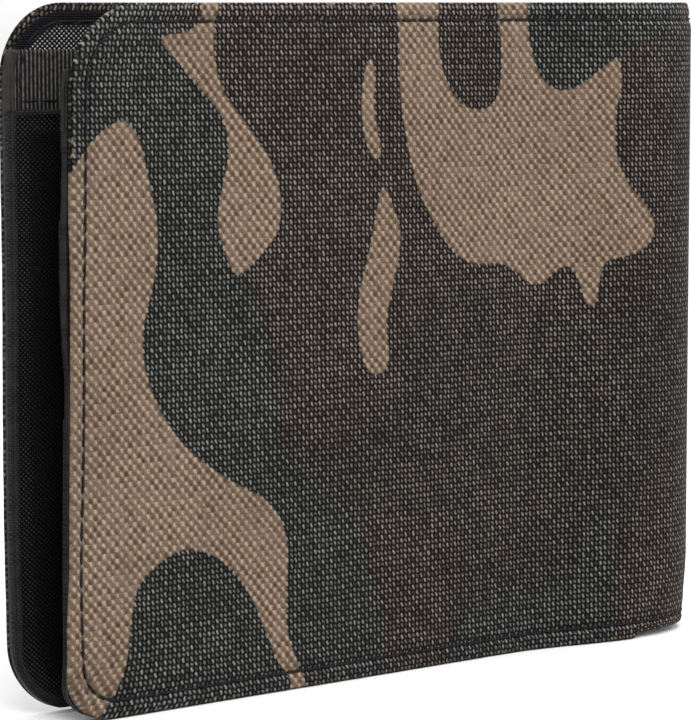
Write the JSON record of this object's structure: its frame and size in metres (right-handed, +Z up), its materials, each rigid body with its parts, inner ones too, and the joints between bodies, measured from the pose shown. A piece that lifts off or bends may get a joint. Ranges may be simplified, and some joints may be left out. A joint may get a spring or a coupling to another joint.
{
  "type": "folding wallet",
  "caption": "Camouflage fabric wallet with a note compartment, stepped card slots, a zipped coin pocket and a middle leaf with a clear window; the leaves fold round a soft spine.",
  "frame": {"origin": "middle of the closed wallet's box, at its long bottom edge", "axes": "+X from the free edges of the leaves to the fold, +Y from the front cover to the back cover, +Z up from the bottom edge to the open top of the note compartment"},
  "size_m": [0.1236, 0.0182, 0.095],
  "materials": {
    "camo_fabric": "woven oxford cloth printed in tan, brown, grey-green and black",
    "lining_fabric": "plain-woven black nylon, slight sheen",
    "ribbon": "ribbed grosgrain tape",
    "stiffener_board": "matt sheet",
    "thread": "twisted polyester sewing thread",
    "zip_tape": "herringbone woven tape",
    "zip_coil": "satin nylon coil",
    "zip_metal": "satin black paint over zinc",
    "clear_film": "clear flexible film"
  },
  "bodies": {
    "fold": {"cover_fold": "camo_fabric", "lining_fold": "lining_fabric", "divider_fold": "lining_fabric", "ribbon_fold": "ribbon", "seam_thread_fold": "thread", "hinge_strip": "lining_fabric"},
    "front_leaf": {"cover_front": "camo_fabric", "stiffener_front": "stiffener_board", "lining_front": "lining_fabric", "divider_front": "lining_fabric", "ribbon_front": "ribbon", "card_slot_top": "lining_fabric", "card_slot_middle": "lining_fabric", "card_slot_bottom": "lining_fabric", "seam_thread_front": "thread"},
    "back_leaf": {"cover_back": "camo_fabric", "stiffener_back": "stiffener_board", "lining_back": "lining_fabric", "divider_back": "lining_fabric", "ribbon_back": "ribbon", "seam_thread_back": "thread", "coin_pocket": "lining_fabric", "zip_tape_lower": "zip_tape", "zip_tape_upper": "zip_tape", "zip_coil_lower": "zip_coil", "zip_coil_upper": "zip_coil", "zip_stops": "zip_metal"},
    "middle_leaf": {"middle_panel": "lining_fabric", "middle_tape": "ribbon", "window_film": "clear_film", "window_frame": "lining_fabric", "middle_slot_upper": "lining_fabric", "middle_slot_lower": "lining_fabric"},
    "slider": {"zip_slider": "zip_metal"},
    "pull": {"zip_pull": "zip_metal"}
  },
  "joints": [
    {"name": "front_fold", "type": "hinge", "parent": "fold", "child": "front_leaf", "pos_m": [0.05949, -0.00679, 0.0475], "axis": [0, 0, 1], "range_deg": [0, 90]},
    {"name": "back_fold", "type": "hinge", "parent": "fold", "child": "back_leaf", "pos_m": [0.05949, 0.00679, 0.0475], "axis": [0, 0, -1], "range_deg": [0, 90]},
    {"name": "middle_fold", "type": "hinge", "parent": "fold", "child": "middle_leaf", "pos_m": [0.0485, 0, 0.0475], "axis": [0, 0, 1], "range_deg": [0, 76.5]},
    {"name": "zip_slide", "type": "slide", "parent": "back_leaf", "child": "slider", "axis": [-1, 0, 0], "range_m": [0, 0.055]},
    {"name": "pull_swing", "type": "hinge", "parent": "slider", "child": "pull", "pos_m": [0.012, 0.00138, 0.073], "axis": [0, 0, 1], "range_deg": [0, 18]}
  ],
  "couplings": [
    {"joint": "middle_fold", "follows": "front_fold", "ratio": 0.85}
  ]
}
